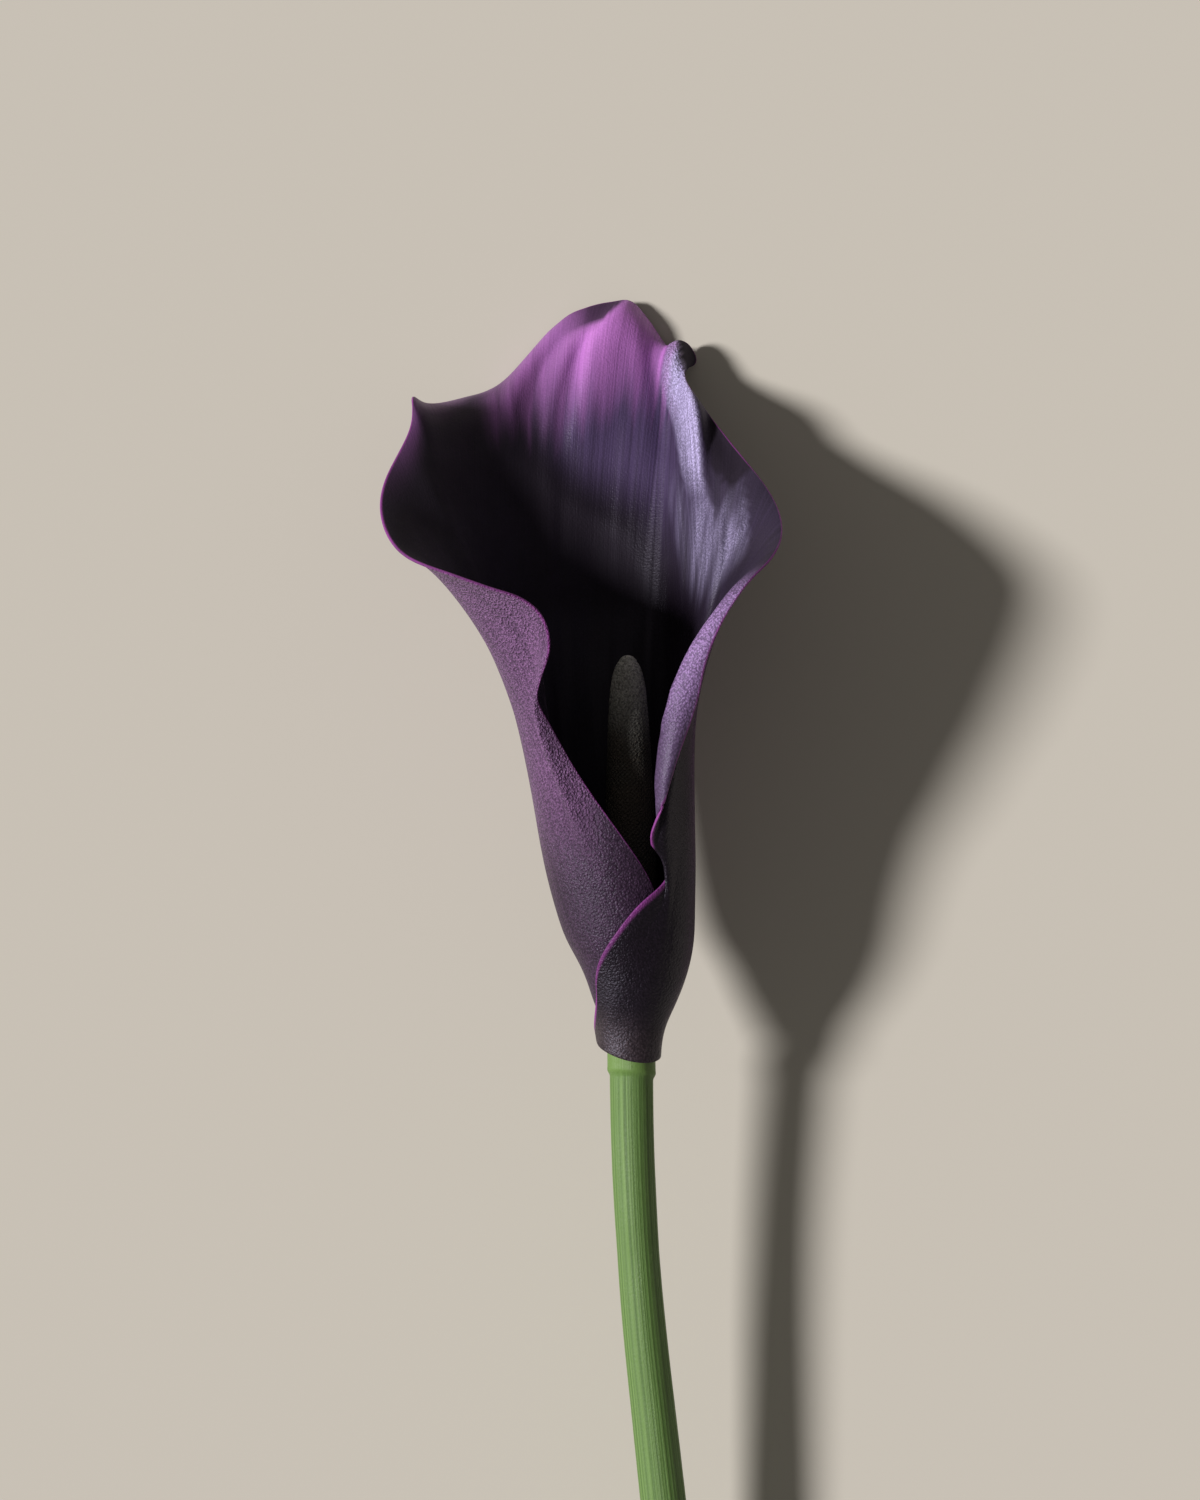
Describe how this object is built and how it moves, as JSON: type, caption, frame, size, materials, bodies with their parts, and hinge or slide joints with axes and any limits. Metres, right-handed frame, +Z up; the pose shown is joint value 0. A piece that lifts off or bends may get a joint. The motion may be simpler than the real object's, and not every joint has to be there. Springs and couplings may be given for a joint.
{
  "type": "calla lily flower",
  "caption": "Single cut calla lily bloom lying on its back: a dark purple trumpet-shaped spathe rolled round a slender spadix on a smooth green stem.",
  "frame": {"origin": "middle of the laid flower's footprint, on the surface it lies on", "axes": "+Z up out of the bloom's mouth, +Y along the flower from the cut end of the stem toward the tip of the spathe, +X to the flower's right as seen from above"},
  "size_m": [0.0605, 0.2869, 0.0448],
  "materials": {
    "spathe": "dark purple waxy petal, magenta toward the tip and margin",
    "spadix": "matt, finely granular, very dark grey brown",
    "stem": "smooth fresh green with fine lengthwise ribs and a pale cut end"
  },
  "bodies": {
    "root": {"spathe": "spathe", "spadix": "spadix", "stem": "stem"}
  },
  "joints": []
}
